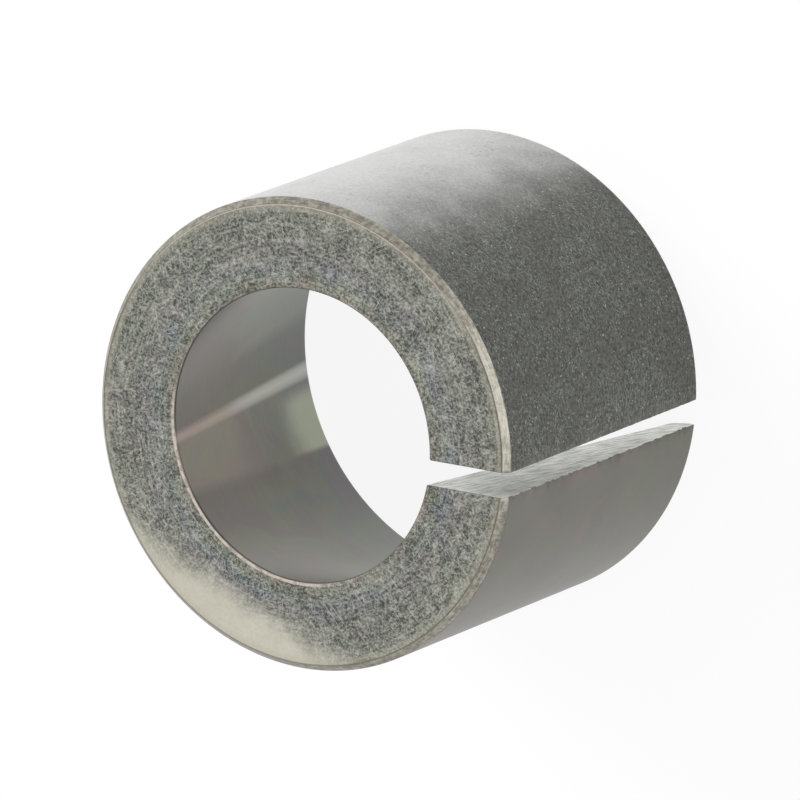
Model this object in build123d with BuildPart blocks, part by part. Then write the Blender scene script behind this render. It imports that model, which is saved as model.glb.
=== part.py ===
"""Split taper bush: a plain outside, a tapered bore and a saw cut through the wall.

The bush is turned from one bar. Its outside is a plain cylinder that slides into a round
seat, and its bore is a cone that grips a tapered stud or shaft. One saw cut along the whole
length lets the wall close on the taper when the stud is drawn in.

It stands on its wide mouth. The axis is Z, the floor is Z = 0, the small end of the bore
is at the top, and the saw cut faces +X.
"""

import os

from build123d import *

# Driving sizes, in millimetres.
outer_diameter = 40.0
length = 30.0

# The bore is a cone. It leaves a thick wall at the top and a thin one at the mouth.
wall_at_top = 7.6
wall_at_mouth = 1.8

# The mouth is opened out to a narrow flat rim, which the bush stands on.
mouth_chamfer_height = 0.8
rim_width = 0.6
rim_edge_round = 0.12

# Edges at the top.
top_chamfer_height = 0.6
top_chamfer_width = 0.55
bore_edge_round = 0.15

# The saw cut. Its middle passes beside the axis, towards -Y.
slot_width = 2.1
slot_offset = 1.2
slot_edge_break = 0.1

# Sizes that follow from them.
outer_radius = outer_diameter / 2
top_bore_radius = outer_radius - wall_at_top
mouth_bore_radius = outer_radius - wall_at_mouth
rim_inner_radius = outer_radius - rim_width
top_flat_radius = outer_radius - top_chamfer_width
chamfer_foot = length - top_chamfer_height
slot_side_low = -slot_offset - slot_width / 2
slot_side_high = -slot_offset + slot_width / 2


with BuildPart() as taper_bush:
    # Half section through the wall, turned once round the axis.
    with BuildSketch(Plane.XZ):
        with BuildLine():
            Polyline(
                (rim_inner_radius, 0),
                (outer_radius, 0),
                (outer_radius, chamfer_foot),
                (top_flat_radius, length),
                (top_bore_radius, length),
                (mouth_bore_radius, mouth_chamfer_height),
                close=True,
            )
        make_face()
    revolve(axis=Axis.Z)

    # The rim's outside and the small end of the bore have softly rounded edges.
    rim_edge = taper_bush.edges().group_by(Axis.Z)[0].sort_by(SortBy.RADIUS)[-1]
    fillet(rim_edge, radius=rim_edge_round)
    bore_edge = taper_bush.edges().group_by(Axis.Z)[-1].sort_by(SortBy.RADIUS)[0]
    fillet(bore_edge, radius=bore_edge_round)

    # The saw cut, seen along X: straight sides whose corners are broken at the top face.
    # It runs from the bore out through the wall, over the whole length.
    with BuildSketch(Plane.YZ):
        with BuildLine():
            Polyline(
                (slot_side_low, 0),
                (slot_side_high, 0),
                (slot_side_high, length - slot_edge_break),
                (slot_side_high + slot_edge_break, length),
                (slot_side_low - slot_edge_break, length),
                (slot_side_low, length - slot_edge_break),
                close=True,
            )
        make_face()
    extrude(amount=outer_diameter, mode=Mode.SUBTRACT)

taper_bush.part.label = "taper_bush"

os.makedirs("parts", exist_ok=True)
export_step(taper_bush.part, "parts/taper_bush.step")
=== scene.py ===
# %% [markdown]
# # A split taper bush
# The bush is one turned piece of steel: a plain cylinder outside, a cone inside, and one saw
# cut through the wall so that it can close on a tapered stud. It is zinc plated.
# This lesson loads the engineering model, builds a finer mesh of the same form with its edges
# rounded as real edges are, gives each of its surfaces the finish that its tool left, and sets
# up a small studio round it. We start with the frame, because every size comes from it.

# %% Load the engineering model
import math

import bmesh
import bpy
from mathutils import Matrix, Vector, noise


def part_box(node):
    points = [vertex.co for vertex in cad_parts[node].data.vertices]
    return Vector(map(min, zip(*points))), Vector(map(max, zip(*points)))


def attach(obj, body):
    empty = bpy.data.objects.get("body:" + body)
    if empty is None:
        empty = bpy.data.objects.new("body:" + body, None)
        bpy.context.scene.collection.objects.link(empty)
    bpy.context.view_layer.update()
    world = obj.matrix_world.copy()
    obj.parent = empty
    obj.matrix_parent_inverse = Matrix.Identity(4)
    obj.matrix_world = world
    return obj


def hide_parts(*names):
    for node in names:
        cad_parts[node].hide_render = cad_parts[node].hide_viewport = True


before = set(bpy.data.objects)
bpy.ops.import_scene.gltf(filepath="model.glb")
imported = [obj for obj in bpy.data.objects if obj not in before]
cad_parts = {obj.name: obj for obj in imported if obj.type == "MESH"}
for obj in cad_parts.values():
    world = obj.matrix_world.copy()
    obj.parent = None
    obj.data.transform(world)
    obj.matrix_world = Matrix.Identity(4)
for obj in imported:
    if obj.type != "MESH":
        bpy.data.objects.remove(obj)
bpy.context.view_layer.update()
low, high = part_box("taper_bush")
MM = 0.001
print("CAD box in mm:", [round(v / MM, 2) for v in high - low])

# %% [markdown]
# ## The sizes
# Length and outside radius are read from the frame. The others are the sizes of the real
# piece: how thick the wall is at each end, how wide its chamfers are, and where the saw cut
# runs. The box of a round part is as wide as the part, so half its width is the radius.

# %% Sizes of the bush
LENGTH = high.z - low.z
OUTER_RADIUS = (high.x - low.x) / 2
WALL_AT_TOP = 7.6 * MM
WALL_AT_MOUTH = 1.8 * MM
MOUTH_CHAMFER_HEIGHT = 0.8 * MM
RIM_WIDTH = 0.6 * MM
TOP_CHAMFER_HEIGHT = 0.6 * MM
TOP_CHAMFER_WIDTH = 0.55 * MM
SLOT_WIDTH = 2.1 * MM
SLOT_OFFSET = 1.2 * MM

TOP_BORE_RADIUS = OUTER_RADIUS - WALL_AT_TOP
MOUTH_BORE_RADIUS = OUTER_RADIUS - WALL_AT_MOUTH
RIM_INNER_RADIUS = OUTER_RADIUS - RIM_WIDTH
TOP_FLAT_RADIUS = OUTER_RADIUS - TOP_CHAMFER_WIDTH
CHAMFER_FOOT = LENGTH - TOP_CHAMFER_HEIGHT
SLOT_LOW = -SLOT_OFFSET - SLOT_WIDTH / 2
SLOT_HIGH = -SLOT_OFFSET + SLOT_WIDTH / 2
print(f"outside {2 * OUTER_RADIUS / MM:.2f} mm, bore {2 * TOP_BORE_RADIUS / MM:.2f} mm at the top")

# %% [markdown]
# ## The section of the wall
# A lathe makes a solid by turning one section round an axis, and so does the Spin operator.
# We draw half of the section as six points joined by edges, going round the wall once. Real
# corners are never sharp, so each is bevelled by its own small radius while it is still flat
# wire: that is much easier than bevelling the finished ring.

# %% Draw the section and round its corners
SECTION = [
    # radius, height, rounding of that corner
    (RIM_INNER_RADIUS, 0, 0.08 * MM),
    (OUTER_RADIUS, 0, 0.12 * MM),
    (OUTER_RADIUS, CHAMFER_FOOT, 0.08 * MM),
    (TOP_FLAT_RADIUS, LENGTH, 0.08 * MM),
    (TOP_BORE_RADIUS, LENGTH, 0.17 * MM),
    (MOUTH_BORE_RADIUS, MOUTH_CHAMFER_HEIGHT, 0.1 * MM),
]
CORNER_SEGMENTS = 4

bush = bmesh.new()
corners = [bush.verts.new((radius, 0, height)) for radius, height, rounding in SECTION]
for start, end in zip(corners, corners[1:] + corners[:1]):
    bush.edges.new((start, end))
for corner, (radius, height, rounding) in zip(corners, SECTION):
    bmesh.ops.bevel(
        bush,
        geom=[corner],
        offset=rounding,
        offset_type="OFFSET",
        segments=CORNER_SEGMENTS,
        profile=0.5,
        affect="VERTICES",
        material=-1,
    )
print("points in the section:", len(bush.verts))

# %% [markdown]
# ## Points along the long walls
# The saw leaves a slightly ragged edge, which we shape later by moving single points. That
# needs many points along the outside and along the cone, so the long edges are subdivided
# now. The chamfers get a few, so that smooth shading stays flat across them.

# %% Subdivide the long edges of the section
WALL_CUTS = 110
CHAMFER_CUTS = 5
SHORTEST_CHAMFER = 0.4 * MM
LONGEST_CHAMFER = 2 * MM
LEAST_RISE = 0.1 * MM


def is_chamfer(edge):
    """True for the slanted edges of the section, not for roundings or flat faces."""
    rise = abs(edge.verts[0].co.z - edge.verts[1].co.z)
    return SHORTEST_CHAMFER < edge.calc_length() < LONGEST_CHAMFER and rise > LEAST_RISE


bush.edges.ensure_lookup_table()
long_walls = [e for e in bush.edges if e.calc_length() > LENGTH / 2]
chamfers = [e for e in bush.edges if is_chamfer(e)]
bmesh.ops.subdivide_edges(bush, edges=long_walls, cuts=WALL_CUTS)
bmesh.ops.subdivide_edges(bush, edges=chamfers, cuts=CHAMFER_CUTS)
print("long walls:", len(long_walls), "chamfers:", len(chamfers), "points now:", len(bush.verts))

# %% [markdown]
# ## Turning the ring
# Spin turns the section about the Z axis. It stops short of the saw cut on both sides, so we
# turn the section to its starting angle first and spin through the rest of the circle.
# Spinning a full ring and cutting it afterwards would work too, but the cut would cross the
# columns of faces at a slant and leave slivers along its edge.

# %% Spin the section from one side of the cut to the other
START_ANGLE = math.radians(3)
END_ANGLE = math.radians(360 - 13)
SPIN_STEPS = 232

to_start = Matrix.Rotation(START_ANGLE, 3, "Z")
bmesh.ops.rotate(bush, verts=list(bush.verts), cent=(0, 0, 0), matrix=to_start)
start_loop = list(bush.edges)
spun = bmesh.ops.spin(
    bush,
    geom=list(bush.verts) + list(bush.edges),
    cent=(0, 0, 0),
    axis=(0, 0, 1),
    angle=END_ANGLE - START_ANGLE,
    steps=SPIN_STEPS,
)
end_loop = [e for e in spun["geom_last"] if isinstance(e, bmesh.types.BMEdge)]
print("faces after the spin:", len(bush.faces))

# %% [markdown]
# ## Meeting the saw cut
# The two sides of the cut are parallel planes, and the cut passes beside the axis. Each end
# of the ring is extruded in a few steps, and every point turns about the axis by its own
# angle until it lies in the plane. Turning keeps each point at its own radius, so the outside
# stays round and the bore stays a cone right up to the cut.

# %% Extend both ends of the ring to the sides of the cut
END_STEPS = 4


def meet_plane(loop, plane_y):
    """Extrudes an open end of the ring until it lies in the plane y = plane_y."""
    for step in range(END_STEPS):
        made = bmesh.ops.extrude_edge_only(bush, edges=loop)
        loop = [e for e in made["geom"] if isinstance(e, bmesh.types.BMEdge)]
        verts = [v for v in made["geom"] if isinstance(v, bmesh.types.BMVert)]
        for v in verts:
            radius = math.hypot(v.co.x, v.co.y)
            now = math.atan2(v.co.y, v.co.x)
            wanted = math.asin(plane_y / radius)
            turn = (wanted - now) / (END_STEPS - step)
            v.co.rotate(Matrix.Rotation(turn, 3, "Z"))
    return loop


upper_loop = meet_plane(start_loop, SLOT_HIGH)
lower_loop = meet_plane(end_loop, SLOT_LOW)
for loop in (upper_loop, lower_loop):
    bmesh.ops.edgeloop_fill(bush, edges=loop)
bmesh.ops.recalc_face_normals(bush, faces=bush.faces)
open_edges = [e for e in bush.edges if not e.is_manifold]
print("faces:", len(bush.faces), "open edges:", len(open_edges))

# %% [markdown]
# ## Rounding the edges of the cut
# The plating is thin and the saw's edge was only brushed, so these edges have a very small
# radius. The two flat sides of the cut are the only faces with many corners, which is how
# their edges are found. Bevel replaces each edge by three narrow strips.

# %% Bevel the edges of the cut
CUT_ROUNDING = 0.09 * MM
CUT_SEGMENTS = 3
MANY_CORNERS = 8


def beside_flat_side(edge):
    """True for the edges between a flat side of the cut and the rest of the bush."""
    return len(edge.link_faces) == 2 and max(len(f.verts) for f in edge.link_faces) > MANY_CORNERS


cut_edges = [e for e in bush.edges if beside_flat_side(e)]
bmesh.ops.bevel(
    bush,
    geom=cut_edges,
    offset=CUT_ROUNDING,
    offset_type="OFFSET",
    segments=CUT_SEGMENTS,
    profile=0.5,
    affect="EDGES",
    clamp_overlap=True,
    material=-1,
)
print("edges rounded:", len(cut_edges))

# %% [markdown]
# ## A ragged lip
# Where a saw leaves the metal it tears small bites out of the corner. We move the points of
# the rounded corner by a noise that depends on their height, so that neighbours move
# together. Points that bound the flat side of the cut slide only along X, which keeps that
# side flat.

# %% Tear small bites out of the lips of the cut
NEAR_A_CORNER = 0.13 * MM
BITE_PERIOD = 1.0 * MM
NIBBLE_PERIOD = 0.38 * MM
ON_THE_SIDE = 0.001 * MM
DEEP_BITE = 0.2 * MM
BORE_BITE = 0.1 * MM
SMALL_BITE = 0.05 * MM


def bite(height, seed):
    """How much is torn out at this height, from 0 to about 0.6."""
    coarse = noise.noise(Vector((seed, 0, height / BITE_PERIOD)))
    fine = noise.noise(Vector((seed, 5, height / NIBBLE_PERIOD)))
    return max(0, 0.55 * coarse + 0.6 * fine + 0.1)


def tear(side_y, into_metal, wall_radius, towards_wall, depth, seed):
    """Moves the points of one lip. into_metal is the Y direction away from the cut."""
    moved = 0
    for v in bush.verts:
        off_side = abs(v.co.y - side_y)
        off_wall = abs(math.hypot(v.co.x, v.co.y) - wall_radius(v.co.z))
        if v.co.x < 0 or off_side > NEAR_A_CORNER or off_wall > NEAR_A_CORNER:
            continue
        torn = depth * bite(v.co.z, seed)
        v.co.x += towards_wall * torn
        if off_side > ON_THE_SIDE:
            v.co.y += into_metal * torn
        moved += 1
    return moved


def outside_at(height):
    return OUTER_RADIUS


def bore_at(height):
    share = (LENGTH - height) / (LENGTH - MOUTH_CHAMFER_HEIGHT)
    return TOP_BORE_RADIUS + share * (MOUTH_BORE_RADIUS - TOP_BORE_RADIUS)


torn_points = [
    tear(SLOT_LOW, -1, outside_at, -1, DEEP_BITE, seed=1),
    tear(SLOT_HIGH, 1, outside_at, -1, SMALL_BITE, seed=2),
    tear(SLOT_LOW, -1, bore_at, 1, BORE_BITE, seed=3),
    tear(SLOT_HIGH, 1, bore_at, 1, SMALL_BITE, seed=4),
]
print("points moved on each lip:", torn_points)

# %% [markdown]
# ## Which tool made which surface
# One finish all over would look like plastic. The top face was tumbled and is covered in
# fine scratches, the outside was ground, the bore was reamed smooth, and the cut still shows
# the arcs of the saw. Each face of the mesh gets the number of its finish, from where it is
# and where it points. Flat faces are shaded flat, and curved ones and roundings smooth.

# %% Sort the faces by finish
TOP, CHAMFER, OUTSIDE, BORE, CUT = range(5)
FINISH_NAMES = ["top", "chamfer", "outside", "bore", "cut"]
SLACK = 0.02 * MM
OUTSIDE_DEPTH = 0.3 * MM
STRAIGHT_UP = 0.9999


def finish_of(face):
    centre = face.calc_center_median()
    radius = math.hypot(centre.x, centre.y)
    beside_cut = SLOT_LOW - SLACK < centre.y < SLOT_HIGH + SLACK
    if centre.x > 0 and beside_cut:
        return CUT
    if centre.z > CHAMFER_FOOT and radius > TOP_FLAT_RADIUS + SLACK:
        return CHAMFER
    if radius > OUTER_RADIUS - OUTSIDE_DEPTH and centre.z > SLACK:
        return OUTSIDE
    if centre.z > LENGTH - SLACK:
        return TOP
    if centre.z < SLACK:
        return CHAMFER
    return BORE


counts = [0] * len(FINISH_NAMES)
for face in bush.faces:
    face.material_index = finish_of(face)
    counts[face.material_index] += 1
    flat_top = face.normal.z > STRAIGHT_UP
    flat_side = len(face.verts) > MANY_CORNERS
    face.smooth = not (flat_top or flat_side)
print("faces of each finish:", dict(zip(FINISH_NAMES, counts)))

# %% [markdown]
# ## Into the scene
# The mesh becomes an object that sits at the origin, with its place in its points. It rides on the
# one body of the model and stands for the engineering node, which is hidden.

# %% Make the object
body_mesh = bpy.data.meshes.new("bush_body")
bush.to_mesh(body_mesh)
bush.free()
body = bpy.data.objects.new("bush_body", body_mesh)
bpy.context.scene.collection.objects.link(body)
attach(body, "root")
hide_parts("taper_bush")
print("triangles:", sum(len(p.vertices) - 2 for p in body_mesh.polygons))

# %% [markdown]
# ## Shader maths written as Python
# A finish is a tree of nodes, and adding up twenty Math nodes by hand hides what they say.
# A small class wraps a socket, so that ordinary operators add the nodes. Everything that
# isn't plain maths goes through one method that takes a node's type, its settings and its
# inputs.

# %% Sockets that can be added and multiplied


class Wire:
    """One value in a tree of nodes. Python's operators on it add Math nodes."""

    def __init__(self, nodes, socket):
        self.nodes = nodes
        self.socket = socket

    def maths(self, operation, *values, clamp=False):
        settings = {"operation": operation, "use_clamp": clamp}
        return self.nodes.node("ShaderNodeMath", settings, dict(enumerate(values)))

    def __add__(self, other):
        return self.maths("ADD", self, other)

    def __sub__(self, other):
        return self.maths("SUBTRACT", self, other)

    def __rsub__(self, other):
        return self.maths("SUBTRACT", other, self)

    def __mul__(self, other):
        return self.maths("MULTIPLY", self, other)

    def __truediv__(self, other):
        return self.maths("DIVIDE", self, other)

    __radd__ = __add__
    __rmul__ = __mul__

    def larger(self, other):
        return self.maths("MAXIMUM", self, other)

    def absolute(self):
        return self.maths("ABSOLUTE", self)

    def clamped(self):
        return self.maths("ADD", self, 0.0, clamp=True)

    def output(self, name):
        """Another output of the node that this value comes from."""
        return Wire(self.nodes, self.socket.node.outputs[name])


class Nodes:
    """A tree of nodes, with one method for every node that isn't plain maths."""

    def __init__(self, tree):
        self.tree = tree

    def feed(self, socket, value):
        if isinstance(value, Wire):
            self.tree.links.new(value.socket, socket)
        else:
            socket.default_value = value

    def node(self, kind, settings, inputs, output=0):
        made = self.tree.nodes.new(kind)
        for name, value in settings.items():
            if name != "stops":
                setattr(made, name, value)
        self.set_stops(made, settings.get("stops", []))
        for name, value in inputs.items():
            self.feed(made.inputs[name], value)
        return Wire(self, made.outputs[output])

    def vector(self, operation, inputs, output=0):
        return self.node("ShaderNodeVectorMath", {"operation": operation}, inputs, output)

    def ramp(self, stops, value):
        """The colour that a list of stops has at a value from 0 to 1."""
        return self.node("ShaderNodeValToRGB", {"stops": stops}, {"Fac": value})

    def set_stops(self, made, stops):
        """A ramp comes with two stops. They are used, and the rest are added."""
        for number, (place, colour) in enumerate(stops):
            ramp = made.color_ramp.elements
            if number < 2:
                ramp[number].position = place
                ramp[number].color = colour
            else:
                ramp.new(place).color = colour


class Finish(Nodes):
    """A material and its tree."""

    def __init__(self, name):
        self.material = bpy.data.materials.new(name)
        self.material.use_nodes = True
        super().__init__(self.material.node_tree)
        self.shader = self.tree.nodes["Principled BSDF"]

    def surface(self, **inputs):
        """Sets the main shader's sockets, named with _ for a space."""
        for name, value in inputs.items():
            self.feed(self.shader.inputs[name.replace("_", " ")], value)
        print(self.material.name, "has", len(self.tree.nodes), "nodes")


print("operators ready:", [name for name in vars(Wire) if name.endswith("__")][:8])

# %% [markdown]
# ## Words for textures
# A few short functions give the pieces that every finish uses: a place on the bush measured
# in millimetres, a noise whose grain size is also in millimetres, a soft step that turns a
# noise into patches, and a blend of two colours. Measuring in millimetres keeps the sizes
# of scratches and stains readable.

# %% Place, noise, step and blend


def place_mm(finish):
    """Where a point is on the bush, in millimetres."""
    place = finish.node("ShaderNodeTexCoord", {}, {}, "Object")
    return finish.vector("SCALE", {0: place, "Scale": 1 / MM})


def turned(finish, place, stretch=(1, 1, 1), angle=0.0, shift=(0, 0, 0)):
    """The same place, turned about Z and then measured with a stretched ruler."""
    spun_place = finish.node(
        "ShaderNodeMapping", {}, {"Vector": place, "Rotation": (0, 0, angle), "Location": shift}
    )
    return finish.node("ShaderNodeMapping", {}, {"Vector": spun_place, "Scale": stretch})


def grain(finish, place, size_mm, detail=2.0, rough=0.5, warp=0.0):
    """A noise from 0 to 1 whose lumps are about size_mm across."""
    inputs = {
        "Vector": place,
        "Scale": 1 / size_mm,
        "Detail": detail,
        "Roughness": rough,
        "Distortion": warp,
    }
    return finish.node("ShaderNodeTexNoise", {"noise_dimensions": "3D"}, inputs)


def step(finish, value, start, end):
    """Rises smoothly from 0 to 1 while value goes from start to end."""
    inputs = {"Value": value, "From Min": start, "From Max": end, "To Min": 0.0, "To Max": 1.0}
    settings = {"interpolation_type": "SMOOTHSTEP", "clamp": True}
    return finish.node("ShaderNodeMapRange", settings, inputs)


def blend(finish, share, first, second, way="MIX"):
    """The first colour where share is 0 and the second where it is 1."""
    settings = {"data_type": "RGBA", "blend_type": way, "clamp_factor": True}
    return finish.node("ShaderNodeMix", settings, {0: share, 6: first, 7: second}, output=2)


def tint(red, green, blue):
    """A colour as read off a screen, from 0 to 255, made linear for the shader."""
    channels = [c / 255 for c in (red, green, blue)]
    linear = [c / 12.92 if c <= 0.04045 else ((c + 0.055) / 1.055) ** 2.4 for c in channels]
    return (*linear, 1.0)


def bump(finish, height, depth_mm):
    """Turns a height from 0 to 1 into a relief of that depth."""
    inputs = {"Height": height, "Distance": depth_mm * MM, "Strength": 1.0}
    return finish.node("ShaderNodeBump", {}, inputs)


print("mid grey is", [round(c, 3) for c in tint(128, 128, 128)])

# %% [markdown]
# ## Round the axis
# Most marks on a turned part follow the lathe: rings on the faces, bands round the walls.
# They need the distance from the axis and the direction away from it. The direction is kept
# as a vector and not as an angle, because an angle jumps from one end of its range to the
# other somewhere on the ring, and a noise would show that jump as a seam.

# %% Distance from the axis, direction and rings


def round_axis(finish, place):
    """The distance from the axis in millimetres, and the direction away from it."""
    flat = finish.vector("MULTIPLY", {0: place, 1: (1, 1, 0)})
    radius = finish.vector("LENGTH", {0: flat}, "Value")
    direction = finish.vector("NORMALIZE", {0: flat})
    return radius, direction


def facing(finish, direction, degrees):
    """1 where the direction is the one given in degrees from +X, and -1 opposite."""
    angle = math.radians(degrees)
    aim = (math.cos(angle), math.sin(angle), 0)
    return finish.vector("DOT_PRODUCT", {0: direction, 1: aim}, "Value")


def ring_grain(finish, radius, direction, length_mm, width_mm, detail=2.0):
    """A noise drawn out into rings: length_mm along a ring, width_mm across it."""
    along = finish.vector("SCALE", {0: direction, "Scale": OUTER_RADIUS / MM / length_mm})
    across = finish.node("ShaderNodeCombineXYZ", {}, {2: radius / width_mm})
    both = finish.vector("ADD", {0: along, 1: across})
    return grain(finish, both, 1.0, detail)


print("a ring near the edge is", round(2 * math.pi * OUTER_RADIUS / MM), "mm round")

# %% [markdown]
# ## Scratches and worms
# Tumbling in a barrel with hundreds of other parts leaves two kinds of marks. Hairlines run
# in every direction: a noise stretched hard one way gives streaks, and only its highest
# values are kept, in a few layers that cross. Between them lie short curled bright marks.
# They are the places where a noise is near its middle value, which is always a thin line
# that winds about.

# %% Hairlines and worms
HAIRLINE_LENGTH = 3.2
HAIRLINE_WIDTH = 0.075
HAIRLINE_ANGLES = [0.2, 0.85, 1.4, 2.05, 2.7]
LAYER_SHIFT = 3.7
FAINT, CLEAR = 0.68, 0.76


def hairlines(finish, place):
    """A mask of short fine scratches that lie flat in X and Y."""
    lines = None
    for number, angle in enumerate(HAIRLINE_ANGLES):
        ruler = (1 / HAIRLINE_LENGTH, 1 / HAIRLINE_WIDTH, 1)
        along = turned(finish, place, ruler, angle, (0, 0, LAYER_SHIFT * number))
        layer = step(finish, grain(finish, along, 1.0, 1.0), FAINT, CLEAR)
        lines = layer if lines is None else lines.larger(layer)
    return lines


def worms(finish, place, size_mm, width):
    """A mask of thin lines that wind about."""
    middle = (grain(finish, place, size_mm, 2.0, 0.6, 0.5) - 0.5).absolute()
    return 1 - step(finish, middle, 0.0, width)


print("layers of hairlines:", len(HAIRLINE_ANGLES))

# %% [markdown]
# ## The film on the top face
# Clear-passivated zinc isn't one colour: the film is so thin that it tints the light where
# its thickness changes, and it grows thinner towards every edge. So the tints lie in rings:
# brown at the bore, then olive, teal and blue, then a long grey part, and cream at the rim.
# The rings wander, fade in places, and are broken by patches of green and violet.

# %% Film of the top face
FILM_RINGS = [
    (0.00, tint(140, 128, 118)),
    (0.07, tint(140, 138, 120)),
    (0.17, tint(124, 138, 126)),
    (0.25, tint(116, 128, 142)),
    (0.33, tint(124, 124, 130)),
    (0.55, tint(134, 136, 128)),
    (0.80, tint(132, 138, 124)),
    (0.92, tint(150, 148, 132)),
    (1.00, tint(168, 164, 148)),
]
CLOUD_MM = 3.0
WANDER_MM = 2.4
WANDER_GRAIN_MM = 1.6
FADED_MM = 2.6
PATCH_MM = 1.1
FADED_SHARE = 0.6
PATCH_SHARE = 0.4

top = Finish("top_face")
here = place_mm(top)
radius, direction = round_axis(top, here)
cloud = grain(top, here, CLOUD_MM, 2.0)
drift = (grain(top, here, WANDER_GRAIN_MM, 2.0) - 0.5) * WANDER_MM
inner_mm = TOP_BORE_RADIUS / MM
ring_place = (radius + drift - inner_mm) / (OUTER_RADIUS / MM - inner_mm)
film = top.ramp(FILM_RINGS, ring_place)
faded = 1 - step(top, grain(top, here, FADED_MM, 1.0), 0.42, 0.6)
film = blend(top, faded * FADED_SHARE, film, tint(134, 135, 126))
patchy = grain(top, turned(top, here, shift=(5, 3, 1)), PATCH_MM, 2.0)
greenish = step(top, patchy, 0.54, 0.68)
violet = 1 - step(top, patchy, 0.34, 0.47)
film = blend(top, greenish * PATCH_SHARE, film, tint(116, 136, 122))
film = blend(top, violet * PATCH_SHARE, film, tint(126, 118, 130))
print("tints in the film:", len(FILM_RINGS))

# %% [markdown]
# ## The wear on the top face
# Tumbling left light worms and hairlines over a dark grain. Every layer adds its part to one
# shade from 0 to 1, which blends a darkened film with a worn, lighter one. The same shade
# makes the relief, so that what looks worn also catches the light.

# %% Wear of the top face
FINE_MM = 0.24
MEDIUM_MM = 0.75
RING_LENGTH_MM, RING_WIDTH_MM = 6.0, 0.2
CURL_MM, CURL_WIDTH = 0.7, 0.055
FINE_PART, CURL_PART, RING_PART = 0.44, 0.34, 0.75
MEDIUM_PART, CLOUD_PART, BASE_SHADE = 0.95, 0.5, 0.04
LIGHT_SHARE = 0.6
LINE_SHARE = 0.5

fine = grain(top, here, FINE_MM, 2.0, 0.6)
rings = ring_grain(top, radius, direction, RING_LENGTH_MM, RING_WIDTH_MM)
curls = worms(top, here, CURL_MM, CURL_WIDTH)
lines = hairlines(top, here)
medium = grain(top, here, MEDIUM_MM, 3.0, 0.6, 0.4)
shade = FINE_PART * step(top, fine, 0.34, 0.66) + CURL_PART * curls + RING_PART * (rings - 0.5)
shade = (shade + MEDIUM_PART * (medium - 0.5) + CLOUD_PART * (cloud - 0.5) + BASE_SHADE).clamped()
dark = blend(top, 1.0, film, tint(158, 158, 160), "MULTIPLY")
light = blend(top, LIGHT_SHARE, film, tint(206, 206, 194))
worn = blend(top, shade, dark, light)
worn = blend(top, lines * LINE_SHARE, worn, tint(210, 209, 198))
print("layers in the shade: fine, curls, rings, medium, cloud")

# %% [markdown]
# ## The edges of the top face
# On one side, a flat segment was spared by the tumbling and is smooth, and its cream tone is a
# painted sheen. Towards the rim the face is paler, and a thin line follows the chamfer: a painted
# highlight on one side and painted shade on the rest. At the bore, the lip is dark, and on one
# side a thin line of bright beads runs beside it.

# %% Edges of the top face
SPARED_SIDE = 248
SPARED_FROM, SPARED_FULL = 14.2, 17.6
RIM_FROM, RIM_FULL = 18.7, 19.2
LINE_FROM, LINE_FULL = 0.14, 0.05
LIT_SIDE = 90
BEAD_SIDE = 228
BEAD_PLACE, BEAD_HALF, BEAD_FADE = 0.22, 0.08, 0.2
BEAD_MM = 0.5
LIP_FROM, LIP_TO = 0.02, 0.13
LESS_RELIEF = 0.85
TOP_RELIEF_MM = 0.006

spared = facing(top, direction, SPARED_SIDE) * radius + (cloud - 0.5) * 1.6
smooth = step(top, spared, SPARED_FROM, SPARED_FULL)
rim = step(top, radius, RIM_FROM, RIM_FULL)
# Painted sheen: the cream tone of the smooth spared segment.
cream = blend(top, cloud, tint(196, 193, 176), tint(210, 206, 192))
calm = blend(top, smooth * 0.85, worn, cream)
edged = blend(top, rim * 0.35, calm, tint(176, 172, 156))
flat_mm = TOP_FLAT_RADIUS / MM
outer_line = step(top, radius, flat_mm - LINE_FROM, flat_mm - LINE_FULL)
# Painted highlight on the side given by LIT_SIDE, and painted shade on the rest of the line.
lit_part = step(top, facing(top, direction, LIT_SIDE), 0.4, 0.8)
painted_edge_light = blend(top, lit_part, tint(84, 80, 70), tint(205, 200, 186))
edged = blend(top, outer_line * 0.6, edged, painted_edge_light)
beads = step(top, grain(top, here, BEAD_MM, 2.0), 0.36, 0.56)
bead_side = step(top, facing(top, direction, BEAD_SIDE), 0.35, 0.75)
bead_line = 1 - step(top, (radius - inner_mm - BEAD_PLACE).absolute(), BEAD_HALF, BEAD_FADE)
bead_share = bead_line * bead_side * (0.35 + 0.5 * beads)
edged = blend(top, bead_share, edged, tint(214, 202, 194))
lip = 1 - step(top, radius, inner_mm + LIP_FROM, inner_mm + LIP_TO)
top.surface(
    Base_Color=blend(top, lip * 0.7, edged, tint(84, 76, 68)),
    Metallic=0.85,
    Roughness=0.5 - 0.12 * smooth,
    Normal=bump(top, shade * (1 - LESS_RELIEF * smooth), TOP_RELIEF_MM),
)

# %% [markdown]
# ## The chamfer and the rim
# These were turned last and not tumbled as hard, so they are smoother, with soft patches
# where the film is darker. Fine rings from the turning tool run round them.

# %% Finish of the chamfer and the rim
TURNED_RINGS = (0.6, 0.6, 9.0)
CHAMFER_PATCH_MM = 0.45
CHAMFER_RELIEF_MM = 0.003

chamfer = Finish("chamfer")
here = place_mm(chamfer)
streaks = grain(chamfer, turned(chamfer, here, TURNED_RINGS), 1.0, 3.0, 0.6)
patches = step(chamfer, grain(chamfer, here, CHAMFER_PATCH_MM, 3.0, 0.65), 0.35, 0.7)
colour = blend(chamfer, patches, tint(113, 110, 100), tint(163, 159, 148))
colour = blend(chamfer, step(chamfer, streaks, 0.4, 0.7) * 0.3, colour, tint(205, 203, 192))
chamfer.surface(
    Base_Color=colour,
    Metallic=0.9,
    Roughness=0.34 + 0.16 * patches,
    Normal=bump(chamfer, streaks, CHAMFER_RELIEF_MM),
)
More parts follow.
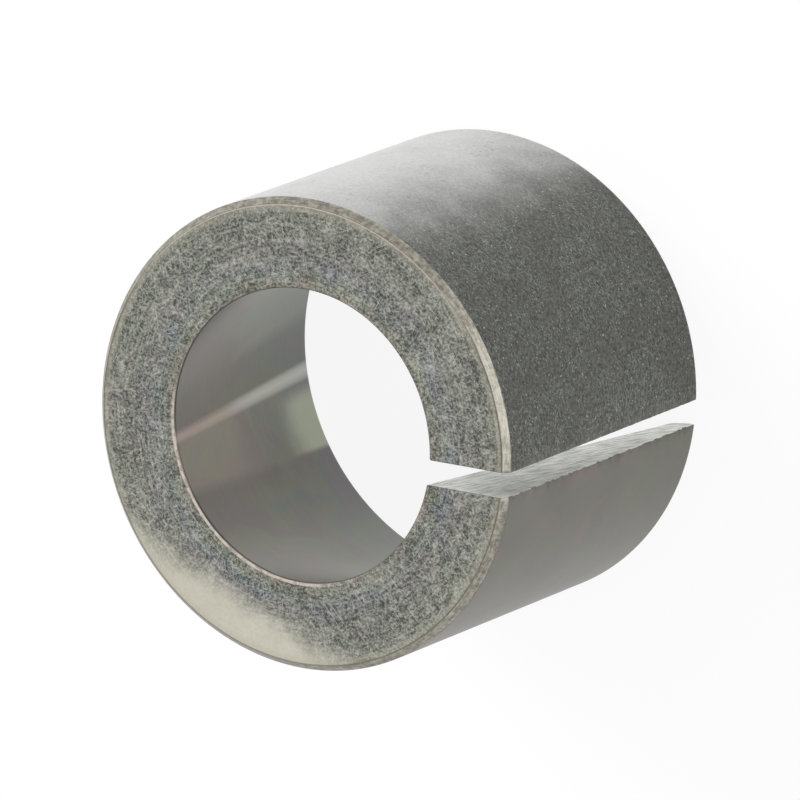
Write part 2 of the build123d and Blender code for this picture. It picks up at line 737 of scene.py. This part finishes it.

# %% [markdown]
# ## The outside
# The film took differently round the bush, and painted light and shade deepen the difference. On
# one side of the cut it is dark, with pale curled specks, and that dark tone is partly painted
# shade. About a quarter of the way round it is lighter, with a few dark pits: part of that tone is
# painted light on this side of the wall. On the other side of the cut it stayed smooth and warm.
# First we say where each part is, and draw its marks.

# %% Parts and marks of the outside
PAINTED_LIGHT_SIDE = 100
LIGHT_FROM, LIGHT_FULL = 0.70, 1.04
SMOOTH_SIDE = -62
SMOOTH_FROM, SMOOTH_FULL = 0.42, 0.62
BORDER_WANDER = 0.2
CLUSTER_MM = 4.5
SQUASH = (1, 1, 1.25)
SPECK_MM = 0.28
SPECK_CURL_MM, SPECK_CURL_WIDTH = 0.6, 0.045
FLECK_MM = 0.22
PIT_ZONE_MM, PIT_MM = 3.2, 0.4
STAIN_MM = 3.5

outside = Finish("outside")
here = place_mm(outside)
radius, direction = round_axis(outside, here)
cloud = grain(outside, here, CLUSTER_MM, 3.0)
wander = (cloud - 0.5) * BORDER_WANDER
towards_light = facing(outside, direction, PAINTED_LIGHT_SIDE) + wander
towards_smooth = facing(outside, direction, SMOOTH_SIDE) + wander
# Painted light: this mask lightens the tone of the wall on one side.
lighter = step(outside, towards_light, LIGHT_FROM, LIGHT_FULL)
smooth = step(outside, towards_smooth, SMOOTH_FROM, SMOOTH_FULL)

squashed = turned(outside, here, SQUASH)
fine = grain(outside, squashed, SPECK_MM, 3.0, 0.65)
shifted = turned(outside, squashed, shift=(31, 7, 3))
curls = worms(outside, shifted, SPECK_CURL_MM, SPECK_CURL_WIDTH)
flecks = step(outside, grain(outside, squashed, FLECK_MM, 1.0), 0.66, 0.76)
pit_place = turned(outside, here, shift=(9, 0, 5))
pit_zone = step(outside, grain(outside, pit_place, PIT_ZONE_MM, 1.0), 0.55, 0.7)
pits = step(outside, grain(outside, here, PIT_MM, 3.0, 0.7), 0.56, 0.68) * pit_zone
stain = grain(outside, here, STAIN_MM, 2.0)
clusters = step(outside, cloud, 0.38, 0.62)
print("lighter round", PAINTED_LIGHT_SIDE, "degrees, smooth round", SMOOTH_SIDE, "degrees")

# %% [markdown]
# ## The three tones of the outside
# Each part gets its own tone: speckled, mottled or quiet. The dark ground of the speckled tone is
# partly painted shade, and the light ground of the mottled tone is partly painted light. The quiet
# one has faint pink and green stains. The masks from above then blend the three.

# %% Finish of the outside
PIT_SHARE = 0.7
FLECK_SHARE = 0.8
STAIN_SHARE = 0.35
OUTSIDE_RELIEF_MM = 0.004

spots = step(outside, fine, 0.3, 0.7)
# Painted shade: the dark ground of the speckled tone. The specks, curls and flecks on it are marks
# of the film.
speckled_painted_shade = blend(outside, spots, tint(40, 42, 39), tint(92, 92, 86))
speckled_painted_shade = blend(outside, curls * (0.25 + 0.4 * clusters), speckled_painted_shade, tint(132, 137, 128))
speckled_painted_shade = blend(outside, flecks * FLECK_SHARE, speckled_painted_shade, tint(176, 178, 168))
# Painted light: the light ground of the mottled tone. The pits on it are marks of the film.
mottled_painted_light = blend(outside, spots, tint(156, 156, 154), tint(176, 176, 175))
mottled_painted_light = blend(outside, pits * PIT_SHARE, mottled_painted_light, tint(84, 86, 80))
quiet = blend(outside, cloud, tint(98, 96, 89), tint(114, 111, 103))
pinkish = step(outside, stain, 0.54, 0.7)
greenish = 1 - step(outside, stain, 0.32, 0.44)
quiet = blend(outside, pinkish * STAIN_SHARE, quiet, tint(124, 104, 102))
quiet = blend(outside, greenish * STAIN_SHARE, quiet, tint(102, 116, 90))
quiet = blend(outside, flecks * 0.12, quiet, tint(160, 160, 150))

zones = blend(outside, lighter, speckled_painted_shade, mottled_painted_light)
relief = (fine + curls * 0.4) * (1 - LESS_RELIEF * smooth)
outside.surface(
    Base_Color=blend(outside, smooth, zones, quiet),
    Metallic=0.5,
    Roughness=0.36 + 0.06 * fine,
    Normal=bump(outside, relief, OUTSIDE_RELIEF_MM),
)

# %% [markdown]
# ## The bands of the bore
# A reamed cone shows long soft bands, light and dark, and one bright streak along the bush.
# They stand for light and shade on the wall, and are tones in two ramps round the axis: one
# for the top and one for the mouth. A turn of 0.5 faces away from the saw cut.

# %% Bands of the bore
TOP_BANDS = [
    (0.00, tint(118, 113, 105)),
    (0.375, tint(96, 90, 82)),
    (0.470, tint(92, 89, 80)),
    (0.490, tint(82, 81, 71)),
    (0.5215, tint(84, 83, 73)),
    (0.5255, tint(164, 150, 138)),
    (0.5305, tint(164, 149, 136)),
    (0.5345, tint(116, 109, 100)),
    (0.583, tint(116, 108, 99)),
    (0.595, tint(80, 78, 71)),
    (0.635, tint(84, 82, 76)),
    (0.685, tint(114, 111, 103)),
    (1.00, tint(120, 116, 108)),
]
MOUTH_BANDS = [
    (0.00, tint(112, 111, 106)),
    (0.400, tint(102, 104, 94)),
    (0.478, tint(104, 106, 96)),
    (0.490, tint(70, 72, 67)),
    (0.5205, tint(76, 77, 73)),
    (0.5245, tint(184, 182, 176)),
    (0.5300, tint(184, 182, 176)),
    (0.5340, tint(92, 90, 87)),
    (0.586, tint(82, 81, 78)),
    (0.592, tint(66, 67, 63)),
    (0.630, tint(76, 77, 73)),
    (0.670, tint(94, 96, 90)),
    (1.00, tint(112, 111, 106)),
]
BAND_WANDER_MM = 6.0
BLEND_LOW, BLEND_HIGH = 12.0, 21.0

bore = Finish("bore")
here = place_mm(bore)
parts = bore.node("ShaderNodeSeparateXYZ", {}, {0: here})
height = parts.output("Z")
away_x, away_y = parts.output("X") * -1, parts.output("Y") * -1
turn = parts.maths("ARCTAN2", away_y, away_x) / (2 * math.pi) + 0.5
drift = (grain(bore, here, 3.0, 2.0) - 0.5) * BAND_WANDER_MM
near_top = bore.ramp(TOP_BANDS, turn)
near_mouth = bore.ramp(MOUTH_BANDS, turn)
bands = blend(bore, step(bore, height + drift, BLEND_LOW, BLEND_HIGH), near_mouth, near_top)
print("stops in the two ramps:", len(TOP_BANDS), "and", len(MOUTH_BANDS))

# %% [markdown]
# ## The film of the bore
# Nothing rubbed against the cone in the barrel, so its film is whole, with soft clouds of pink,
# yellow and teal that change with the height. One part near the mouth is paler and greener: a
# painted glint. The reamer left very fine rings.

# %% Finish of the bore
FILM = [
    (0.20, tint(118, 112, 104)),
    (0.36, tint(120, 100, 96)),
    (0.48, tint(124, 124, 92)),
    (0.60, tint(98, 118, 106)),
    (0.74, tint(120, 108, 116)),
]
FILM_STRETCH = (0.2, 0.2, 0.1)
REAMED_RINGS = (0.3, 0.3, 11.0)
FILM_SLANT = 0.012
MID_HEIGHT = 15.0
FILM_SHARE = 0.26
GLINT_LOW, GLINT_HIGH = 3.5, 9.5
GLINT_SHARE = 0.75
BORE_RELIEF_MM = 0.002

colours = grain(bore, turned(bore, here, FILM_STRETCH), 1.0, 2.0, 0.5, 0.8)
slant = colours + (MID_HEIGHT - height) * FILM_SLANT
film = bore.ramp(FILM, slant)
rings = grain(bore, turned(bore, here, REAMED_RINGS), 1.0, 2.0)
colour = blend(bore, FILM_SHARE, bands, film)
# Painted glint: a paler, greener part of the bore near the mouth.
glint_band = step(bore, turn, 0.534, 0.55) * (1 - step(bore, turn, 0.584, 0.589))
glint = (1 - step(bore, height + drift * 0.4, GLINT_LOW, GLINT_HIGH)) * glint_band
colour = blend(bore, glint * GLINT_SHARE, colour, tint(158, 164, 140))
colour = blend(bore, step(bore, rings, 0.35, 0.7) * 0.05, colour, tint(180, 178, 170))
bore.surface(
    Base_Color=colour,
    Metallic=0.9,
    Roughness=0.32,
    Normal=bump(bore, rings, BORE_RELIEF_MM),
)

# %% [markdown]
# ## The saw cut
# A round saw leaves arcs. Their centre is where the saw's arbor was, far out to one side, so
# the distance from that point is all that the pattern needs: a noise along it gives lines of
# uneven depth. The bare cut took the plating too, and looks pale grey.

# %% Finish of the saw cut
SAW_CENTRE = (157.0, 0.0, 66.0)
MARK_MM = 0.26
MARK_WAVE_MM = 0.3
MARK_BREAK = 0.12
CUT_RELIEF_MM = 0.02

cut = Finish("saw_cut")
here = place_mm(cut)
flat = cut.vector("MULTIPLY", {0: here, 1: (1, 0, 1)})
reach = cut.vector("DISTANCE", {0: flat, 1: SAW_CENTRE}, "Value")
uneven = grain(cut, here, 2.5, 1.0) * MARK_WAVE_MM
height = cut.node("ShaderNodeSeparateXYZ", {}, {0: here}).output("Z")
on_line = cut.node("ShaderNodeCombineXYZ", {}, {0: reach + uneven, 1: height * MARK_BREAK})
marks = grain(cut, on_line, MARK_MM, 3.0, 0.7)
colour = blend(cut, step(cut, marks, 0.34, 0.62), tint(176, 178, 172), tint(244, 244, 240))
stain = step(cut, grain(cut, here, 1.4, 2.0), 0.52, 0.7)
cut.surface(
    Base_Color=blend(cut, stain * 0.4, colour, tint(190, 204, 192)),
    Metallic=0.85,
    Roughness=0.42,
    Normal=bump(cut, marks, CUT_RELIEF_MM),
)

# %% [markdown]
# ## Giving the finishes to the mesh
# The order of the slots is the order of the numbers that the faces were given.

# %% Fill the material slots
for finish in (top, chamfer, outside, bore, cut):
    body_mesh.materials.append(finish.material)
print("slots:", [m.name for m in body_mesh.materials])

# %% [markdown]
# ## The floor
# The bush stands on a white sheet. A white sheet under soft light renders just under white,
# so it gives out most of its brightness itself to the camera and to mirrored rays. The rest
# is lit, which keeps the bush's soft shadow.

# %% Floor
FLOOR_HALF = 2.0
SELF_LIT_SHARE = 0.9
PAPER = (0.85, 0.85, 0.85, 1)
WHITE = (1, 1, 1, 1)

floor_mesh = bpy.data.meshes.new("floor")
sheet = bmesh.new()
bmesh.ops.create_grid(sheet, x_segments=1, y_segments=1, size=FLOOR_HALF)
sheet.to_mesh(floor_mesh)
sheet.free()
floor = bpy.data.objects.new("floor", floor_mesh)
bpy.context.scene.collection.objects.link(floor)


def shows_background(nodes):
    """1 for the rays that should see the plain background, and 0 for the rest."""
    ray = nodes.node("ShaderNodeLightPath", {}, {})
    mirrored_or_through = ray.output("Is Glossy Ray") + ray.output("Is Transmission Ray")
    return (ray.output("Is Camera Ray") + mirrored_or_through).clamped()


paper = Finish("white_sheet")
paper.surface(Base_Color=PAPER, Roughness=1.0)
glow = paper.node("ShaderNodeEmission", {}, {"Color": WHITE, "Strength": 1.0})
lit = Wire(paper, paper.shader.outputs[0])
share = shows_background(paper) * SELF_LIT_SHARE
mixed = paper.node("ShaderNodeMixShader", {}, {0: share, 1: lit, 2: glow})
paper.feed(paper.tree.nodes["Material Output"].inputs["Surface"], mixed)
floor_mesh.materials.append(paper.material)
print("floor is", 2 * FLOOR_HALF, "m wide")

# %% [markdown]
# ## The air round it
# The camera and the mirrored rays see the same plain white here as on the floor. The dull
# part of a finish is lit by the room instead: it is brightest high up behind the bush, and
# falls to a soft grey in front, so that faces that point different ways differ in tone.

# %% World
ROOM_BRIGHT = 1.0
ROOM_DIM = 0.42
BRIGHT_AZIMUTH = math.radians(206)
BRIGHT_ELEVATION = math.radians(60)
FALLOFF_FROM, FALLOFF_TO = 0.1, 0.9


def aimed(azimuth, elevation):
    """The direction at an azimuth from +X and an elevation, both in radians."""
    flat = math.cos(elevation)
    return Vector((math.cos(azimuth) * flat, math.sin(azimuth) * flat, math.sin(elevation)))


world = bpy.data.worlds.new("studio")
bpy.context.scene.world = world
world.use_nodes = True
room = Nodes(world.node_tree)
background = world.node_tree.nodes["Background"]
bright_way = tuple(aimed(BRIGHT_AZIMUTH, BRIGHT_ELEVATION))
way = room.node("ShaderNodeTexCoord", {}, {}, "Generated")
closeness = room.vector("DOT_PRODUCT", {0: way, 1: bright_way}, "Value")
near_bright = step(room, closeness, FALLOFF_FROM, FALLOFF_TO)
level = ROOM_DIM + (ROOM_BRIGHT - ROOM_DIM) * near_bright
seen = shows_background(room)
background.inputs["Color"].default_value = WHITE
room.feed(background.inputs["Strength"], level.larger(seen))
print("the room goes from", ROOM_DIM, "to", ROOM_BRIGHT)

# %% [markdown]
# ## Lamps
# One soft lamp stands low behind the bush and shades its side from light to dark. Mirrored
# rays don't see it, so it lights only the dull part of the finish and leaves no hot spot. A
# weaker, wider one in front gives the chamfer beside the cut its bright edge. A lamp's level
# is how bright a white card facing it would be, with 1 for white.

# %% Lamps
LAMP_DISTANCE = 0.8
SIDE_LEVEL = 2.2
FRONT_LEVEL = 0.3


def lamp(name, azimuth, elevation, width, height, level):
    """A soft lamp aimed at the bush. Angles are in degrees and azimuth is from +X."""
    light = bpy.data.lights.new(name, "AREA")
    light.shape = "RECTANGLE"
    light.size = width
    light.size_y = height
    light.energy = level * math.pi**2 * LAMP_DISTANCE**2
    made = bpy.data.objects.new(name, light)
    bpy.context.scene.collection.objects.link(made)
    out = aimed(math.radians(azimuth), math.radians(elevation))
    centre = Vector((0, 0, LENGTH / 2))
    turn_to_bush = out.to_track_quat("Z", "Y").to_matrix().to_4x4()
    made.matrix_world = Matrix.Translation(centre + out * LAMP_DISTANCE) @ turn_to_bush
    made.visible_camera = False
    return made


side_lamp = lamp("side", 143, 12, 0.5, 0.25, SIDE_LEVEL)
side_lamp.visible_glossy = False
lamp("front", 12, 30, 0.75, 0.3, FRONT_LEVEL)

# %% [markdown]
# ## Camera
# The bush is seen from above and to one side, through a very long lens from more than a metre
# away, so its edges stay almost parallel. The camera is also rolled, which lays the standing
# bush on its side in the picture.

# %% Camera
CAMERA_AZIMUTH = math.radians(26.26)
CAMERA_ELEVATION = math.radians(55.32)
CAMERA_ROLL = math.radians(110.91)
CAMERA_DISTANCE = 1202.2 * MM
LOOKED_AT = Vector((0.16, -0.10, 14.93)) * MM
LENS_LENGTH = 650
SENSOR_WIDTH = 36

lens = bpy.data.cameras.new("camera")
lens.lens = LENS_LENGTH
lens.sensor_width = SENSOR_WIDTH
lens.clip_start = 0.1
lens.clip_end = 10
camera = bpy.data.objects.new("camera", lens)
bpy.context.scene.collection.objects.link(camera)
back = aimed(CAMERA_AZIMUTH, CAMERA_ELEVATION)
upright = back.to_track_quat("Z", "Y").to_matrix().to_4x4()
rolled = upright @ Matrix.Rotation(-CAMERA_ROLL, 4, "Z")
camera.matrix_world = Matrix.Translation(LOOKED_AT + back * CAMERA_DISTANCE) @ rolled
bpy.context.scene.camera = camera
bpy.context.scene.view_settings.view_transform = "Standard"
print("camera at", [round(v, 3) for v in camera.matrix_world.translation])

# %% [markdown]
# ## Done
